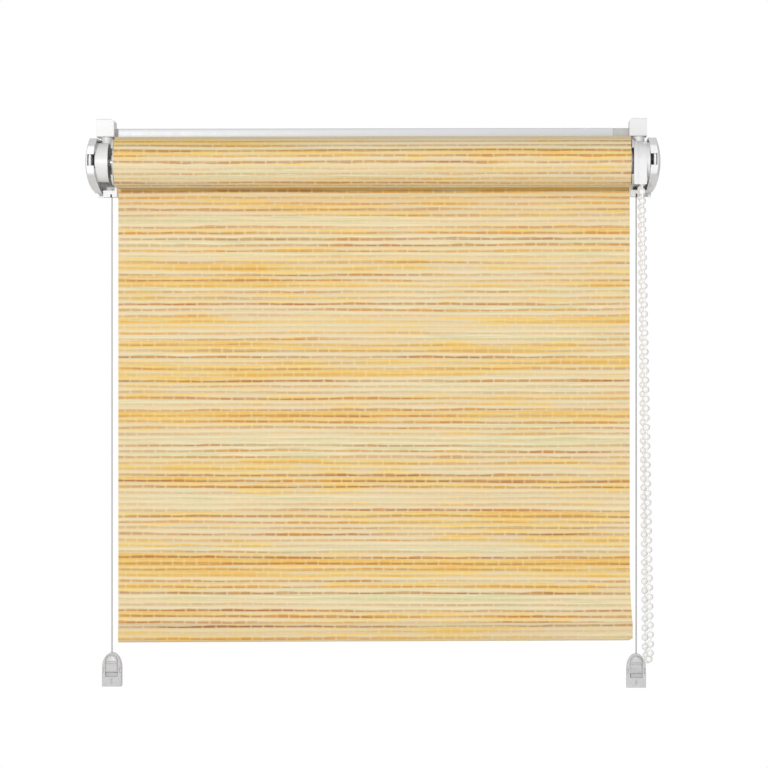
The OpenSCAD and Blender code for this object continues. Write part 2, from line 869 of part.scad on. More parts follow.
module wire_clamp() {
    notch = 2.4;
    notch_h = 3.2;
    groove_w = 0.8;
    groove_h = 3.2;
    wire_depth = 5;
    hook_in = foot_w / 2 - 4.4;
    color("lightgray") translate([wire_x, 0, foot_foot]) difference() {
        union() {
            along_y(-foot_d, 0) polygon(arch_points(foot_w, foot_h, arch_h));
            along_x(-hook_in, foot_w / 2) polygon([
                [-1, 0], [sash_t + foot_hook_t, 0], [sash_t + foot_hook_t, foot_lip],
                [sash_t, foot_lip], [sash_t, foot_hook_t], [-1, foot_hook_t]
            ]);
        }
        translate([0, 0, foot_h - panel_top + seat - recess_h]) along_y(-foot_d - 1, panel_t - foot_d)
            polygon(arch_points(panel_w + 2 * seat, recess_h, panel_rise));
        translate([0, -wire_y, foot_h - panel_top - wire_depth])
            cylinder(h = 2 * wire_depth, d = wire_d + 2 * running);
        for (side = [-1, 1]) translate([side * foot_w / 2, -foot_d, foot_h - arch_h - notch_h / 2])
            cube([notch, notch, notch_h], center = true);
        translate([-groove_w / 2, -foot_d - 1, 2]) cube([groove_w, 1.6, groove_h]);
    }
}

module left_wire_clamp() {
    on_left() wire_clamp();
}

module right_wire_clamp() {
    wire_clamp();
}

module wire_lock() {
    proud = 0.9;
    step = 0.7;
    ridge_d = 1.6;
    ridge_z = panel_h * 0.55;
    color("gainsboro") translate([wire_x, -foot_d, foot_top - panel_top - panel_h]) union() {
        along_y(0, panel_t - sliding) polygon(arch_points(panel_w, panel_h, panel_rise));
        translate([0, 0, step]) along_y(-proud, step)
            polygon(arch_points(panel_w - 2 * step, panel_h - 2 * step, panel_rise - step));
        translate([0, -proud, ridge_z]) round_bar(-panel_w / 2 + 1, panel_w / 2 - 1, ridge_d);
    }
}

module left_wire_lock() {
    on_left() wire_lock();
}

module right_wire_lock() {
    wire_lock();
}

top_rail();
left_rail_end();
right_rail_end();
left_bracket();
right_bracket();
left_end_cover();
right_end_cover();
left_clamp_block();
right_clamp_block();
left_clamp_hook();
right_clamp_hook();
left_clamp_screw();
right_clamp_screw();
idle_bearing();
chain_guard();
clutch_core();
roller_tube();
fabric_roll();
idle_plug();
idle_pin();
drive_plug();
chain_sprocket();
wrap_spring();
bead_chain();
fabric_sheet();
hem_pocket();
bottom_bar();
left_bar_cap();
right_bar_cap();
left_guide_wire();
right_guide_wire();
left_wire_ferrule();
right_wire_ferrule();
left_wire_clamp();
right_wire_clamp();
left_wire_lock();
right_wire_lock();
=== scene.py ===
import json
import math

import bmesh
import bpy
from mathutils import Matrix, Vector


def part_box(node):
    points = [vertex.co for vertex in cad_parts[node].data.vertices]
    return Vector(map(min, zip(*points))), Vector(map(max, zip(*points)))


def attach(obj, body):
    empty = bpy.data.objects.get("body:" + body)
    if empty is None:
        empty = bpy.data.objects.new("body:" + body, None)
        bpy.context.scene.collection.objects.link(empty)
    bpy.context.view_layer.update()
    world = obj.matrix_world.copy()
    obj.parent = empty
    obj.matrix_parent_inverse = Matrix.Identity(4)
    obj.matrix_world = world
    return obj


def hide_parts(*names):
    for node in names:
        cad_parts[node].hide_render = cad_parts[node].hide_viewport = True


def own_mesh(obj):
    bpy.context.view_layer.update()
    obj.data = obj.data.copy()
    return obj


bl_info = {
    "name": "Clamp Roller Blind",
    "version": (1, 0, 0),
    "blender": (4, 5, 0),
    "location": "View3D > Sidebar > Blind",
    "description": "Dresses the clamp roller blind: woven cloth, moulded ends, bead chain and studio",
    "category": "Object",
}

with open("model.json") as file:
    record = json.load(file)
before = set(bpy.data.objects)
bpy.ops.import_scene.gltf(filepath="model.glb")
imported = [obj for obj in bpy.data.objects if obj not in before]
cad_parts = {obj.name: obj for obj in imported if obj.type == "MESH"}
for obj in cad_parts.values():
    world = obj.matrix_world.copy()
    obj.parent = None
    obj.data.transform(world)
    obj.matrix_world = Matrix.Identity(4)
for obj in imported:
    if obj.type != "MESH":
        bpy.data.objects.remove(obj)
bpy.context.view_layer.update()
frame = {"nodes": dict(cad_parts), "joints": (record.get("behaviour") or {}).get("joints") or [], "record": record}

MM = 0.001
NODES = frame["nodes"]
LIFT = next(joint for joint in frame["joints"] if joint["name"] == "bar_lift")["range_m"][1]
BODY_OF = {
    node: body for body, members in frame["record"]["behaviour"]["bodies"].items() for node in members
}

# Places taken over from the frame
ROLL_LOW, ROLL_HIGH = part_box("roller_tube")
AXIS_Y = (ROLL_LOW.y + ROLL_HIGH.y) / 2
AXIS_Z = (ROLL_LOW.z + ROLL_HIGH.z) / 2
TUBE_R = (ROLL_HIGH.z - ROLL_LOW.z) / 2
SHEET_LOW, SHEET_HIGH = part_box("fabric_sheet")
SHEET_Y = (SHEET_LOW.y + SHEET_HIGH.y) / 2
HEM_LOW, HEM_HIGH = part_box("hem_pocket")
HALF = SHEET_HIGH.x


# Settings

class ClothSettings(bpy.types.PropertyGroup):
    """Sizes and colours of the woven cloth"""

    row: bpy.props.FloatProperty(
        name="Row", description="Distance between weft ribs", default=3.8 * MM, unit="LENGTH")
    rib: bpy.props.FloatProperty(
        name="Rib", description="Height of a weft rib", default=0.35 * MM, unit="LENGTH")
    thickness: bpy.props.FloatProperty(
        name="Thickness", description="Thickness between the ribs", default=0.4 * MM, unit="LENGTH")
    warp: bpy.props.FloatProperty(
        name="Warp", description="Distance between warp threads", default=7.8 * MM, unit="LENGTH")
    over: bpy.props.FloatProperty(
        name="Over", description="Length of the hem beyond the cloth's right edge",
        default=1.9 * MM, unit="LENGTH")
    tilt: bpy.props.FloatProperty(
        name="Tilt", description="Slope of the hem, lower at the left",
        default=math.radians(0.35), subtype="ANGLE")
    khaki: bpy.props.FloatVectorProperty(
        name="Khaki", description="Greenish thick yarn", default=(0.77, 0.72, 0.43), subtype="COLOR")
    cream: bpy.props.FloatVectorProperty(
        name="Cream", description="Palest thick yarn", default=(0.88, 0.75, 0.47), subtype="COLOR")
    beige: bpy.props.FloatVectorProperty(
        name="Beige", description="Pinkish thick yarn", default=(0.85, 0.69, 0.44), subtype="COLOR")
    straw: bpy.props.FloatVectorProperty(
        name="Straw", description="Yellow thick yarn", default=(0.9, 0.66, 0.22), subtype="COLOR")
    gold: bpy.props.FloatVectorProperty(
        name="Gold", description="Golden yarn", default=(0.87, 0.52, 0.12), subtype="COLOR")
    orange: bpy.props.FloatVectorProperty(
        name="Orange", description="Common thin yarn", default=(0.7, 0.33, 0.08), subtype="COLOR")
    brown: bpy.props.FloatVectorProperty(
        name="Brown", description="Darkest thin yarn", default=(0.44, 0.19, 0.08), subtype="COLOR")


class PlasticSettings(bpy.types.PropertyGroup):
    """Colours and edges of the hard pieces"""

    white: bpy.props.FloatVectorProperty(
        name="White", description="Moulded white plastic", default=(0.735, 0.735, 0.735), subtype="COLOR")
    rail: bpy.props.FloatVectorProperty(
        name="Rail", description="Paint of the top rail", default=(0.615, 0.635, 0.665), subtype="COLOR")
    grey: bpy.props.FloatVectorProperty(
        name="Grey", description="Pale grey plastic of the clamps", default=(0.5, 0.5, 0.5), subtype="COLOR")
    nylon: bpy.props.FloatVectorProperty(
        name="Nylon", description="Line of the guide wires", default=(0.42, 0.42, 0.43), subtype="COLOR")
    steel: bpy.props.FloatVectorProperty(
        name="Steel", description="Screws, ferrules, pin and spring",
        default=(0.5, 0.5, 0.51), subtype="COLOR")
    aluminium: bpy.props.FloatVectorProperty(
        name="Aluminium", description="Tube and bottom bar", default=(0.72, 0.72, 0.73), subtype="COLOR")
    bead: bpy.props.FloatVectorProperty(
        name="Bead", description="Plastic of the bead chain", default=(0.86, 0.86, 0.85), subtype="COLOR")
    edge: bpy.props.FloatProperty(
        name="Edge", description="Width of the softened edges", default=0.28 * MM, unit="LENGTH")


class ChainSettings(bpy.types.PropertyGroup):
    """Sizes of the bead chain"""

    bead: bpy.props.FloatProperty(
        name="Bead", description="Diameter of a bead", default=4.5 * MM, unit="LENGTH")
    pitch: bpy.props.FloatProperty(
        name="Pitch", description="Distance between beads", default=6 * MM, unit="LENGTH")
    cord: bpy.props.FloatProperty(
        name="Cord", description="Diameter of the cord between beads", default=1.2 * MM, unit="LENGTH")
    count: bpy.props.IntProperty(name="Count", description="Beads in the loop", default=113)
    pockets: bpy.props.IntProperty(name="Pockets", description="Beads round the sprocket", default=10)
    lean: bpy.props.FloatProperty(
        name="Lean", description="Sideways lean of the loop's foot", default=4.3 * MM, unit="LENGTH")
    twist: bpy.props.FloatProperty(
        name="Twist", description="Sideways distance of the strands at the foot",
        default=2.7 * MM, unit="LENGTH")
    phase: bpy.props.FloatProperty(
        name="Phase", description="Share of a pitch that the chain is turned", default=0.25)


class StageSettings(bpy.types.PropertyGroup):
    """Camera and light"""

    distance: bpy.props.FloatProperty(
        name="Distance", description="Camera to the roller axis", default=2.4, unit="LENGTH")
    right: bpy.props.FloatProperty(
        name="Right", description="Camera to the right of the middle", default=0.08, unit="LENGTH")
    below: bpy.props.FloatProperty(
        name="Below", description="Camera below the roller axis", default=0.142, unit="LENGTH")
    yaw: bpy.props.FloatProperty(
        name="Yaw", description="Turn of the camera to the left", default=math.radians(1.6), subtype="ANGLE")
    level: bpy.props.FloatProperty(
        name="Level", description="Strength of the even light", default=0.36)
    key: bpy.props.FloatProperty(
        name="Key", description="Power of the key light", default=17.9, unit="POWER")


# Shader maths

class Value:
    """A shader socket with arithmetic"""

    def __init__(self, shader, socket):
        self.shader = shader
        self.socket = socket

    def math(self, operation, *others, clamp=False):
        inputs = {i: v for i, v in enumerate((self,) + others)}
        return self.shader.node("ShaderNodeMath", {"operation": operation, "use_clamp": clamp}, inputs)

    def __add__(self, other):
        return self.math("ADD", other)

    def __radd__(self, other):
        return self.math("ADD", other)

    def __sub__(self, other):
        return self.math("SUBTRACT", other)

    def __rsub__(self, other):
        return (self * -1) + other

    def __mul__(self, other):
        return self.math("MULTIPLY", other)

    def __rmul__(self, other):
        return self.math("MULTIPLY", other)

    def __truediv__(self, other):
        return self.math("DIVIDE", other)

    def floor(self):
        return self.math("FLOOR")

    def fract(self):
        return self.math("FRACT")

    def sine(self):
        return self.math("SINE")

    def clamp(self):
        return self.math("ADD", 0.0, clamp=True)

    def ease(self, low, high):
        """0 below low, 1 above high, smooth between"""
        return self.shader.node(
            "ShaderNodeMapRange", {"interpolation_type": "SMOOTHSTEP"},
            {"Value": self, "From Min": low, "From Max": high})


def rgba(colour):
    """A colour socket as it is, or three numbers with full alpha"""
    return colour if isinstance(colour, Value) else (*colour, 1.0)


class Shader:
    """A material's node tree with one Principled shader"""

    def __init__(self, name):
        self.material = bpy.data.materials.new(name)
        self.material.use_nodes = True
        self.tree = self.material.node_tree
        self.surface = next(n for n in self.tree.nodes if n.type == "BSDF_PRINCIPLED")

    def connect(self, value, socket):
        if isinstance(value, Value):
            self.tree.links.new(value.socket, socket)
        else:
            socket.default_value = value

    def node(self, kind, settings, sockets, output=0):
        made = self.tree.nodes.new(kind)
        for name, value in settings.items():
            setattr(made, name, value)
        for name, value in sockets.items():
            self.connect(value, made.inputs[name])
        return Value(self, made.outputs[output])

    def place(self):
        return self.node("ShaderNodeTexCoord", {}, {}, "Object")

    def uv(self):
        split = self.node("ShaderNodeUVMap", {"uv_map": "Weave"}, {})
        return self.axes(split)

    def axes(self, vector):
        return [self.node("ShaderNodeSeparateXYZ", {}, {0: vector}, i) for i in range(3)]

    def vector(self, x, y, z=0.0):
        return self.node("ShaderNodeCombineXYZ", {}, {0: x, 1: y, 2: z})

    def noise(self, vector, scale, detail=2.0):
        return self.node("ShaderNodeTexNoise", {}, {"Vector": vector, "Scale": scale, "Detail": detail})

    def random(self, vector):
        return self.node("ShaderNodeTexWhiteNoise", {"noise_dimensions": "3D"}, {"Vector": vector})

    def mix(self, share, first, second):
        return self.node(
            "ShaderNodeMix", {"data_type": "RGBA"}, {"Factor": share, 6: rgba(first), 7: rgba(second)}, 2)

    def shade(self, colour, factor):
        grey = self.node("ShaderNodeCombineColor", {}, {0: factor, 1: factor, 2: factor})
        return self.node(
            "ShaderNodeMix", {"data_type": "RGBA", "blend_type": "MULTIPLY"},
            {"Factor": 1.0, 6: rgba(colour), 7: grey}, 2)

    def ramp(self, share, stops):
        made = self.tree.nodes.new("ShaderNodeValToRGB")
        points = made.color_ramp.elements
        while len(points) < len(stops):
            points.new(1.0)
        for point, (position, colour) in zip(points, stops):
            point.position = position
            point.color = rgba(colour)
        self.connect(share, made.inputs[0])
        return Value(self, made.outputs[0])

    def bump(self, height, strength, distance):
        return self.node(
            "ShaderNodeBump", {}, {"Height": height, "Strength": strength, "Distance": distance})

    def finish(self, **sockets):
        for name, value in sockets.items():
            socket = self.surface.inputs[name.replace("_", " ").title()]
            self.connect(value, socket)
        return self.material


# Materials

def plastic(name, colour, rough=0.42, see_through=0.0):
    """Moulded plastic with faint flow marks and a fine sparked texture"""
    shader = Shader(name)
    place = shader.place()
    cloud = shader.noise(place, scale=60.0, detail=3.0)
    speck = shader.noise(place, scale=900.0)
    tone = 0.97 + 0.06 * cloud
    return shader.finish(
        base_color=shader.shade(colour, tone),
        roughness=rough - 0.06 + 0.12 * cloud,
        normal=shader.bump(speck, strength=0.08, distance=0.1 * MM),
        subsurface_weight=see_through,
        subsurface_scale=2.0 * MM,
    )


def paint(name, colour):
    """Powder coat with a faint orange peel"""
    shader = Shader(name)
    place = shader.place()
    peel = shader.noise(place, scale=420.0)
    tone = 0.97 + 0.05 * shader.noise(place, scale=25.0)
    return shader.finish(
        base_color=shader.shade(colour, tone),
        roughness=0.3 + 0.1 * peel,
        normal=shader.bump(peel, strength=0.1, distance=0.1 * MM),
    )


def metal(name, colour, rough, along):
    """Drawn metal with fine marks along one axis"""
    long_way = 20.0
    cross_way = 1500.0
    shader = Shader(name)
    axes = shader.axes(shader.place())
    stretch = [axis * (long_way if i == along else cross_way) for i, axis in enumerate(axes)]
    marks = shader.noise(shader.vector(*stretch), scale=1.0, detail=3.0)
    return shader.finish(
        base_color=shader.shade(colour, 0.88 + 0.2 * marks),
        roughness=rough - 0.08 + 0.16 * marks,
        metallic=1.0,
    )


def line(name, colour):
    """Grey nylon line"""
    shader = Shader(name)
    cloud = shader.noise(shader.place(), scale=300.0)
    return shader.finish(
        base_color=shader.shade(colour, 0.92 + 0.16 * cloud),
        roughness=0.25 + 0.1 * cloud,
    )


def woven(name, settings, seed, dark):
    """Thick pale yarns between thin coloured ones, which the warp breaks into staggered dashes"""
    wobble = 2.6 * MM
    crown_share = 0.62
    shader = Shader(name)
    u, v, _ = shader.uv()

    def cloud(across, down, offset=0.0, detail=2.0):
        return shader.noise(shader.vector(across, down, seed + offset), 1.0, detail)

    # Rows that sway a little, and the values that each row draws once
    sway = cloud(u * 7.0, v * 105.0)
    rows = (v + (sway - 0.5) * wobble) / settings.row
    row = rows.floor()
    part = rows.fract()
    lot, hue, kind = [shader.random(shader.vector(row, seed, draw)) for draw in (3.0, 5.0, 8.0)]

    # Slow and quick changes along the yarns
    quick = cloud(u * 45.0, row * 3.91, 4.0).ease(0.3, 0.7)
    fade = cloud(u * 7.0, row * 5.37).ease(0.3, 0.65)
    drift = cloud(u * 6.0, row * 7.13, 6.0).ease(0.3, 0.7)
    band = cloud(u * 2.5, v * 80.0, 9.0).ease(0.3, 0.7)
    streak = cloud(u * 30.0, v * 1100.0, 11.0).ease(0.3, 0.7)
    fibre = cloud(u * 260.0, v * 5200.0, 2.0, detail=3.0)

    # Warp threads, staggered by half their distance from row to row
    warps = u / settings.warp + row / 2 + 0.25 * (quick - 0.5)
    dash = shader.random(shader.vector(row, warps.floor(), seed))
    across = warps.fract()
    bare = (across.ease(0.7, 0.84) - across.ease(0.88, 1.0)) * (0.3 + 0.7 * dash)

    # Colours of the thick and the thin yarns
    pick = 0.4 * kind + 0.3 * drift + 0.25 * band + 0.35 * streak - 0.15
    thick = shader.ramp(pick.clamp(), [
        (0.12, settings.khaki), (0.35, settings.cream), (0.52, settings.beige),
        (0.7, settings.straw), (0.9, settings.gold)])
    pale = shader.mix(0.35 * bare, thick, settings.cream)
    depth = 0.45 * hue + 0.3 * drift + 0.15 * quick + 0.2 * dash + 0.2 * part.ease(0.6, 0.85) - 0.1
    dyed = shader.ramp(depth.clamp(), [(0.1, settings.gold), (0.42, settings.orange), (0.85, settings.brown)])

    # Where the thin yarn shows, and how strongly
    start = 0.32 + 0.22 * quick
    thin = part.ease(start, start + 0.22) - part.ease(0.86, 1.0)
    strong = (0.3 + 0.7 * lot.ease(0.05, 0.5)) * (0.35 + 0.65 * fade) * (0.65 + 0.6 * streak)
    share = (thin * strong * (1.0 - 0.65 * bare)).clamp()

    # Painted shade: each thick yarn is painted lighter at its crown and darker towards the rib's edges; the crown
    # also shapes the bump
    crown = (part * math.pi / crown_share).sine().math("ABSOLUTE")
    tone = (0.9 + 0.1 * crown) * (0.88 + 0.12 * fibre + 0.1 * streak) * dark
    height = crown * (1.0 - 0.3 * bare) + 0.3 * fibre
    return shader.finish(
        base_color=shader.shade(shader.mix(share, pale, dyed), tone),
        roughness=0.72 + 0.2 * fibre,
        normal=shader.bump(height, strength=0.3, distance=0.25 * MM),
        sheen_weight=0.1,
        sheen_roughness=0.5,
    )


# Mesh helpers

MOULDED_CREASE = 30
CLOTH_CREASE = 50


def add_mesh(name, verts, faces, uvs=None, edges=()):
    """Adds a mesh object, with a UV map if each vertex has its place in the weave"""
    mesh = bpy.data.meshes.new(name)
    mesh.from_pydata(verts, edges, faces)
    if uvs:
        layer = mesh.uv_layers.new(name="Weave")
        for loop in mesh.loops:
            layer.data[loop.index].uv = uvs[loop.vertex_index]
    mesh.validate()
    obj = bpy.data.objects.new(name, mesh)
    bpy.context.scene.collection.objects.link(obj)
    return obj


def smooth(mesh, degrees):
    """Shades a mesh smooth, but for edges sharper than an angle"""
    mesh.polygons.foreach_set("use_smooth", [True] * len(mesh.polygons))
    mesh.set_sharp_from_angle(angle=math.radians(degrees))
    mesh.update()


def flatten(obj):
    """Turns an object with modifiers into a plain mesh"""
    seen = obj.evaluated_get(bpy.context.evaluated_depsgraph_get())
    mesh = bpy.data.meshes.new_from_object(seen)
    obj.modifiers.clear()
    obj.data = mesh


def soft_copy(node, width):
    """A merged copy of a CAD node with softened edges"""
    merge = 0.002 * MM
    flat = math.radians(0.5)
    sharp = math.radians(35)
    mesh = NODES[node].data.copy()
    mesh.materials.clear()
    work = bmesh.new()
    work.from_mesh(mesh)
    bmesh.ops.remove_doubles(work, verts=work.verts, dist=merge)
    bmesh.ops.dissolve_limit(work, angle_limit=flat, verts=work.verts, edges=work.edges)
    work.to_mesh(mesh)
    work.free()
    obj = bpy.data.objects.new(node + "_skin", mesh)
    bpy.context.scene.collection.objects.link(obj)
    smooth(mesh, MOULDED_CREASE)
    bevel = obj.modifiers.new("Edges", "BEVEL")
    bevel.width = width
    bevel.segments = 2
    bevel.limit_method = "ANGLE"
    bevel.angle_limit = sharp
    bevel.harden_normals = True
    flatten(obj)
    return obj


def dress(obj, material, nodes):
    """Gives a finished piece its material and body, and hides the CAD nodes that it stands for"""
    if not obj.data.materials:
        obj.data.materials.append(material)
    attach(obj, BODY_OF[nodes[0]])
    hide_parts(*nodes)


def dress_copies(names, width, material):
    """Puts a softened copy in the place of each CAD node"""
    for name in names:
        dress(soft_copy(name, width), material, [name])


def colour_nodes(names, material):
    """Gives CAD nodes that stay as they are a material"""
    for name in names:
        NODES[name].data.materials.clear()
        NODES[name].data.materials.append(material)


def both(name):
    """A left and a right node"""
    return ["left_" + name, "right_" + name]


# Cloth

RIB_STEPS = 6


def slub(row):
    """Share of a rib's full height, from a half to one, uneven from row to row"""
    turn = math.radians(137)
    return 0.75 + 0.25 * math.sin(row * turn)


def rib_height(settings, along):
    """Height of the weft rib at a distance along the cloth"""
    row = math.floor(along / settings.row)
    return settings.rib * slub(row) * math.sin(math.pi * (along / settings.row - row))


def cloth_strip(name, line_points):
    """A closed ribbon of cloth from points of (inner, outer, along, flare), carried across the width"""
    verts, uvs, faces = [], [], []
    for inner, outer, along, flare in line_points:
        for x, reach in ((-HALF, 0.0), (HALF, flare)):
            for y, z in (inner, outer):
                verts.append((x + reach, y, z))
                uvs.append((x, along))
    last = len(line_points) - 1
    for i in range(last):
        a, b = 4 * i, 4 * i + 4
        faces.append((a, b, b + 2, a + 2))
        faces.append((a + 1, a + 3, b + 3, b + 1))
        faces.append((a, a + 1, b + 1, b))
        faces.append((a + 2, b + 2, b + 3, a + 3))
    end = 4 * last
    faces.append((0, 2, 3, 1))
    faces.append((end, end + 1, end + 3, end + 2))
    return add_mesh(name, verts, faces, uvs)


class BLIND_OT_cloth(bpy.types.Operator):
    """Makes the wound cloth, the hanging sheet and the hem"""

    bl_idname = "blind.cloth"
    bl_label = "Cloth"

    def execute(self, context):
        settings = context.scene.blind_cloth
        cloth = woven("Woven cloth", settings, 1.0, 0.9)
        self.roll(settings, cloth)
        self.sheet(settings, cloth)
        self.hem(settings, woven("Woven hem", settings, 22.0, 0.85))
        return {"FINISHED"}

    def roll(self, settings, material):
        """Eleven turns, of which the outermost has ribs"""
        turns = 11
        plain_turns = turns - 1.02
        plain_step = 1.2 * MM
        proud = 0.25 * MM
        clear = 0.1 * MM
        low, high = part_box("fabric_roll")
        outer_r = (high.z - low.z) / 2 + proud
        start_r = TUBE_R + clear
        rise = (outer_r - settings.rib - settings.thickness - start_r) / turns
        points = []
        turn = 0.0
        along = 0.0
        while turn < turns:
            r = start_r + rise * turn
            ribbed = turn > plain_turns
            height = rib_height(settings, along) if ribbed else 0.0
            angle = -2 * math.pi * turn
            side = (math.cos(angle), math.sin(angle))
            inner = (AXIS_Y + r * side[0], AXIS_Z + r * side[1])
            far = r + settings.thickness + height
            outer = (AXIS_Y + far * side[0], AXIS_Z + far * side[1])
            points.append((inner, outer, along, 0.0))
            step = settings.row / RIB_STEPS if ribbed else plain_step
            along += step
            turn += step / (2 * math.pi * (r + settings.thickness))
        obj = cloth_strip("wound_cloth", points)
        smooth(obj.data, CLOTH_CREASE)
        dress(obj, material, ["fabric_roll"])

    def sheet(self, settings, material):
        """Straight down from the roll, with a small flare at the right of its foot"""
        flare_start = 0.85
        length = SHEET_HIGH.z - SHEET_LOW.z
        rows = round(length / settings.row)
        steps = rows * RIB_STEPS
        points = []
        for i in range(steps + 1):
            share = i / steps
            z = SHEET_HIGH.z - length * share
            along = share * rows * settings.row
            height = settings.thickness / 2 + rib_height(settings, along)
            flare = settings.over * max(0.0, (share - flare_start) / (1 - flare_start)) ** 2
            points.append(((SHEET_Y + height, z), (SHEET_Y - height, z), along, flare))
        obj = cloth_strip("hanging_cloth", points)
        smooth(obj.data, CLOTH_CREASE)
        dress(obj, material, ["fabric_sheet"])
        1 - LIFT / length
        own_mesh(obj)

    def hem(self, settings, material):
        """A sleeve round the bottom bar, a little askew, with a rounded corner at the right"""
        steps = 48
        corner = 3.0 * MM
        corner_angles = range(0, 91, 15)
        swell_share = 0.3
        right = HALF + settings.over
        slope = math.sin(settings.tilt)
        thick = HEM_HIGH.y - HEM_LOW.y
        height = HEM_HIGH.z - HEM_LOW.z - (HALF + right) * slope
        top = HEM_HIGH.z - right * slope
        outline = []
        for i in range(steps + 1):
            depth = height * i / steps
            swell = math.sin(math.pi / 2 * min(1.0, depth / (swell_share * height)))
            upper = settings.thickness / 2 + (thick - settings.thickness) / 2 * swell
            below = max(0.0, depth - height + thick / 2)
            dip = settings.rib / 2 * (1 - abs(math.sin(math.pi * depth / settings.row)))
            across = math.sqrt(max(0.0, thick * thick / 4 - below * below))
            outline.append((min(upper, across) - dip * swell * (below == 0.0), -depth))
        ring = [(-w, z) for w, z in outline] + [(w, z) for w, z in reversed(outline[:-1])]
        bend = [corner * math.sin(math.radians(a)) for a in corner_angles]
        stations = [-HALF] + [right - corner + reach for reach in bend]
        verts, uvs, faces = [], [], []
        for x in stations:
            inside = max(0.0, x - right + corner)
            floor = corner - height - math.sqrt(corner * corner - inside * inside)
            along = 0.0
            for i, (y, z) in enumerate(ring):
                if i:
                    along += math.dist(ring[i - 1], ring[i])
                verts.append((x, SHEET_Y + y, top + max(z, floor) + x * slope))
                uvs.append((x, along))
        count = len(ring)
        for s in range(len(stations) - 1):
            for i in range(count):
                a, b = s * count + i, s * count + (i + 1) % count
                faces.append((a, b, b + count, a + count))
        last = (len(stations) - 1) * count
        faces.append(list(reversed(range(count))))
        faces.append(list(range(last, last + count)))
        obj = add_mesh("hem_cloth", verts, faces, uvs)
        smooth(obj.data, CLOTH_CREASE)
        dress(obj, material, ["hem_pocket"])


# Bead chain

def chain_points(settings):
    """Bead centres round the loop: over the sprocket, down the front, round the foot and up the back"""
    low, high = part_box("chain_sprocket")
    hub = Vector(((low.x + high.x) / 2, AXIS_Y, AXIS_Z))
    step = 2 * math.pi / settings.pockets
    r = settings.pitch / step
    strand = (settings.count * settings.pitch - 2 * math.pi * r) / 2
    turn = math.asin(settings.twist / 2 / r)
    top = Vector((0, r, 0))
    across = Vector((-r * math.sin(turn), r * math.cos(turn), 0))
    reach = (across - top).length
    foot = Vector((settings.lean, 0, -math.sqrt(strand ** 2 - reach ** 2 - settings.lean ** 2)))
    strands = []
    for side, start in ((-1, settings.phase), (1, 1 - settings.phase)):
        way = (foot + side * (across - top)).normalized()
        count = math.floor(strand / settings.pitch - start) + 1
        strands.append([hub + side * top + way * settings.pitch * (start + i) for i in range(count)])
    front, back = strands
    over = [step * (i + settings.phase) for i in range(settings.pockets // 2)]
    left = strand / settings.pitch - settings.phase - len(front) + 1
    under = [step * (1 - left + i) - math.pi for i in range(settings.pockets // 2)]
    return (
        [hub + Vector((0, r * math.cos(a), r * math.sin(a))) for a in over] + front
        + [hub + foot + across * math.cos(a) + Vector((0, 0, r * math.sin(a))) for a in under] + back[::-1])


def chain_tree(settings, material):
    """Geometry Nodes: a bead on each point of a line, and a cord along it"""
    tree = bpy.data.node_groups.new("Bead chain", "GeometryNodeTree")
    face = tree.interface
    face.new_socket("Geometry", in_out="INPUT", socket_type="NodeSocketGeometry")
    bead = face.new_socket("Bead diameter", in_out="INPUT", socket_type="NodeSocketFloat")
    cord = face.new_socket("Cord diameter", in_out="INPUT", socket_type="NodeSocketFloat")
    face.new_socket("Geometry", in_out="OUTPUT", socket_type="NodeSocketGeometry")
    bead.default_value = settings.bead
    cord.default_value = settings.cord

    def node(kind, inputs=None, **values):
        made = tree.nodes.new(kind)
        for name, value in values.items():
            setattr(made, name, value)
        for name, value in (inputs or {}).items():
            if isinstance(value, bpy.types.NodeSocket):
                tree.links.new(value, made.inputs[name])
            else:
                made.inputs[name].default_value = value
        return made

    start = node("NodeGroupInput")
    bead_r, cord_r = [
        node("ShaderNodeMath", {0: start.outputs[i], 1: 0.5}, operation="MULTIPLY").outputs[0]
        for i in (1, 2)]
    ball = node("GeometryNodeMeshUVSphere", {"Segments": 20, "Rings": 12, "Radius": bead_r})
    round_ball = node("GeometryNodeSetShadeSmooth", {0: ball.outputs[0]})
    beads = node(
        "GeometryNodeInstanceOnPoints", {"Points": start.outputs[0], "Instance": round_ball.outputs[0]})
    route = node("GeometryNodeMeshToCurve", {0: start.outputs[0]})
    ring = node("GeometryNodeCurvePrimitiveCircle", {"Resolution": 10, "Radius": cord_r})
    thread = node("GeometryNodeCurveToMesh", {"Curve": route.outputs[0], "Profile Curve": ring.outputs[0]})
    joined = node("GeometryNodeJoinGeometry")
    tree.links.new(thread.outputs[0], joined.inputs[0])
    tree.links.new(beads.outputs[0], joined.inputs[0])
    real = node("GeometryNodeRealizeInstances", {0: joined.outputs[0]})
    painted = node("GeometryNodeSetMaterial", {0: real.outputs[0], "Material": material})
    end = node("NodeGroupOutput")
    tree.links.new(painted.outputs[0], end.inputs[0])
    return tree, bead.identifier, cord.identifier


class BLIND_OT_chain(bpy.types.Operator):
    """Makes the bead chain with Geometry Nodes"""

    bl_idname = "blind.chain"
    bl_label = "Bead chain"

    def execute(self, context):
        settings = context.scene.blind_chain
        material = plastic("Bead plastic", context.scene.blind_plastic.bead, rough=0.28)
        points = chain_points(settings)
        count = len(points)
        obj = add_mesh("chain_loop", points, [], edges=[(i, (i + 1) % count) for i in range(count)])
        tree, bead, cord = chain_tree(settings, material)
        beads = obj.modifiers.new("Beads", "NODES")
        beads.node_group = tree
        beads[bead] = settings.bead
        beads[cord] = settings.cord
        flatten(obj)
        dress(obj, material, ["bead_chain"])
        length = sum((b - a).length for a, b in zip(points, points[1:]))
        return {"FINISHED"}


# Hard pieces

class BLIND_OT_wires(bpy.types.Operator):
    """Dresses the two taut guide wires"""

    bl_idname = "blind.wires"
    bl_label = "Guide wires"

    def execute(self, context):
        edge = 0.05 * MM
        material = line("Nylon line", context.scene.blind_plastic.nylon)
        for name in both("guide_wire"):
            obj = soft_copy(name, edge)
            dress(obj, material, [name])
        return {"FINISHED"}


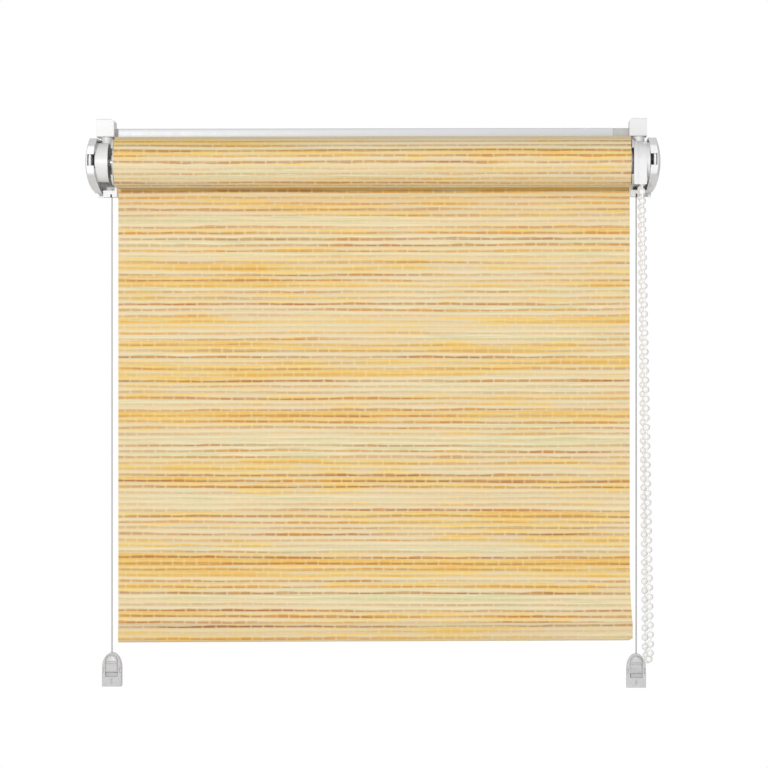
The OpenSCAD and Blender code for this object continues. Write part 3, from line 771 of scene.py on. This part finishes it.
class BLIND_OT_mouldings(bpy.types.Operator):
    """Dresses the brackets, covers, blocks and the other white mouldings"""

    bl_idname = "blind.mouldings"
    bl_label = "White mouldings"

    def execute(self, context):
        settings = context.scene.blind_plastic
        white = plastic("White plastic", settings.white)
        names = both("bracket") + both("end_cover") + both("clamp_block") + both("bar_cap")
        names += ["idle_bearing", "chain_guard", "idle_plug", "chain_sprocket"]
        dress_copies(names, settings.edge, white)
        colour_nodes(["drive_plug", "clutch_core"], white)
        return {"FINISHED"}


class BLIND_OT_greys(bpy.types.Operator):
    """Dresses the grey wire clamps with their locks and the rail's end pieces"""

    bl_idname = "blind.greys"
    bl_label = "Grey mouldings"

    def execute(self, context):
        settings = context.scene.blind_plastic
        grey = plastic("Grey plastic", settings.grey, rough=0.36, see_through=0.1)
        dress_copies(both("wire_clamp") + both("wire_lock") + both("rail_end"), settings.edge, grey)
        return {"FINISHED"}


class BLIND_OT_metals(bpy.types.Operator):
    """Dresses the rail, the hooks and the metal inside"""

    bl_idname = "blind.metals"
    bl_label = "Rail and metal"

    def execute(self, context):
        settings = context.scene.blind_plastic
        coat = paint("White coat", settings.rail)
        dress_copies(["top_rail"] + both("clamp_hook"), settings.edge, coat)
        steel = metal("Plain steel", settings.steel, rough=0.34, along=2)
        drawn = metal("Drawn aluminium", settings.aluminium, rough=0.36, along=0)
        colour_nodes(both("clamp_screw") + both("wire_ferrule") + ["idle_pin", "wrap_spring"], steel)
        colour_nodes(["roller_tube", "bottom_bar"], drawn)
        return {"FINISHED"}


# Stage

# Each lamp's name, place and size in metres, and its share of the key's power
LAMPS = (
    ("Key", (-0.4, -1.9, 0.14), 0.1, 1.0),
    ("Fill", (0.4, -1.6, -0.3), 0.4, 0.2),
    ("Top", (0.2, -1.3, 0.6), 0.8, 0.12),
    ("Back", (0.5, 1.7, 1.0), 0.8, 0.5),
)
LAMP_AIM = Vector((0, AXIS_Y, AXIS_Z - 0.15))


class BLIND_OT_stage(bpy.types.Operator):
    """Sets the camera, the light and the white surroundings"""

    bl_idname = "blind.stage"
    bl_label = "Stage"

    def execute(self, context):
        settings = context.scene.blind_stage
        self.camera(context.scene, settings)
        self.world(context.scene, settings)
        self.floor()
        for name, place, size, share in LAMPS:
            self.lamp(name, place, size, settings.key * share)
        context.scene.view_settings.view_transform = "Standard"
        return {"FINISHED"}

    def camera(self, scene, settings):
        """Stands where the photograph was taken from; picture points are counted from its left edge"""
        sensor = 36.0
        picture = 768
        middle = 372.6
        view = picture * 0.64 * MM
        camera = bpy.data.cameras.new("Camera")
        camera.sensor_width = sensor
        camera.lens = sensor * settings.distance / view
        aim = settings.right - settings.distance * math.tan(settings.yaw)
        camera.shift_x = (picture / 2 - middle) / picture - aim / view
        camera.clip_end = 20.0
        obj = bpy.data.objects.new("Camera", camera)
        obj.location = (settings.right, AXIS_Y - settings.distance, AXIS_Z - settings.below)
        obj.rotation_euler = (math.pi / 2, 0, settings.yaw)
        scene.collection.objects.link(obj)
        scene.camera = obj

    def world(self, scene, settings):
        """White where it is seen or mirrored, and an even light on the object"""
        world = bpy.data.worlds.new("Studio")
        world.use_nodes = True
        tree = world.node_tree
        tree.nodes.clear()
        path = tree.nodes.new("ShaderNodeLightPath")
        shown = path.outputs["Is Camera Ray"]
        for ray in ("Is Glossy Ray", "Is Transmission Ray"):
            either = tree.nodes.new("ShaderNodeMath")
            either.operation = "MAXIMUM"
            tree.links.new(shown, either.inputs[0])
            tree.links.new(path.outputs[ray], either.inputs[1])
            shown = either.outputs[0]
        mix = tree.nodes.new("ShaderNodeMixShader")
        tree.links.new(shown, mix.inputs[0])
        for i, strength in enumerate((settings.level, 1.0)):
            background = tree.nodes.new("ShaderNodeBackground")
            background.inputs["Color"].default_value = (1, 1, 1, 1)
            background.inputs["Strength"].default_value = strength
            tree.links.new(background.outputs[0], mix.inputs[i + 1])
        out = tree.nodes.new("ShaderNodeOutputWorld")
        tree.links.new(mix.outputs[0], out.inputs[0])
        scene.world = world

    def floor(self):
        """A pale round floor below the blind"""
        pale = (0.9, 0.9, 0.9)
        radius = 3.1
        height = -0.95
        sides = 96
        turn = 2 * math.pi / sides
        rim = [(radius * math.cos(i * turn), radius * math.sin(i * turn), height) for i in range(sides)]
        obj = add_mesh("studio_floor", rim, [range(sides)])
        shader = Shader("Studio floor")
        cloud = shader.noise(shader.place(), scale=2.0)
        obj.data.materials.append(shader.finish(
            base_color=shader.shade(pale, 0.98 + 0.04 * cloud), roughness=0.8))

    def lamp(self, name, place, size, power):
        light = bpy.data.lights.new(name, "AREA")
        light.size = size
        light.energy = power
        obj = bpy.data.objects.new(name, light)
        obj.location = place
        aim = LAMP_AIM - Vector(place)
        obj.rotation_euler = aim.to_track_quat("-Z", "Y").to_euler()
        bpy.context.scene.collection.objects.link(obj)


class BLIND_PT_panel(bpy.types.Panel):
    """Lists the steps and their settings"""

    bl_idname = "BLIND_PT_panel"
    bl_label = "Clamp Roller Blind"
    bl_space_type = "VIEW_3D"
    bl_region_type = "UI"
    bl_category = "Blind"

    def draw(self, context):
        for name in SETTINGS:
            group = getattr(context.scene, name)
            box = self.layout.box()
            for key in group.bl_rna.properties.keys():
                if key not in ("rna_type", "name"):
                    box.prop(group, key)
        for operator in OPERATORS:
            self.layout.operator(operator.bl_idname)


SETTINGS = {
    "blind_cloth": ClothSettings,
    "blind_plastic": PlasticSettings,
    "blind_chain": ChainSettings,
    "blind_stage": StageSettings,
}
OPERATORS = (
    BLIND_OT_stage,
    BLIND_OT_chain,
    BLIND_OT_wires,
    BLIND_OT_cloth,
    BLIND_OT_mouldings,
    BLIND_OT_greys,
    BLIND_OT_metals,
)


def register():
    for cls in (*SETTINGS.values(), *OPERATORS, BLIND_PT_panel):
        bpy.utils.register_class(cls)
    for name, cls in SETTINGS.items():
        setattr(bpy.types.Scene, name, bpy.props.PointerProperty(type=cls))


def unregister():
    for name in SETTINGS:
        delattr(bpy.types.Scene, name)
    for cls in reversed((*SETTINGS.values(), *OPERATORS, BLIND_PT_panel)):
        bpy.utils.unregister_class(cls)


def main():
    register()
    bpy.ops.blind.stage()
    bpy.ops.blind.chain()
    bpy.ops.blind.wires()
    bpy.ops.blind.cloth()
    bpy.ops.blind.mouldings()
    bpy.ops.blind.greys()
    bpy.ops.blind.metals()


if __name__ == "__main__":
    main()
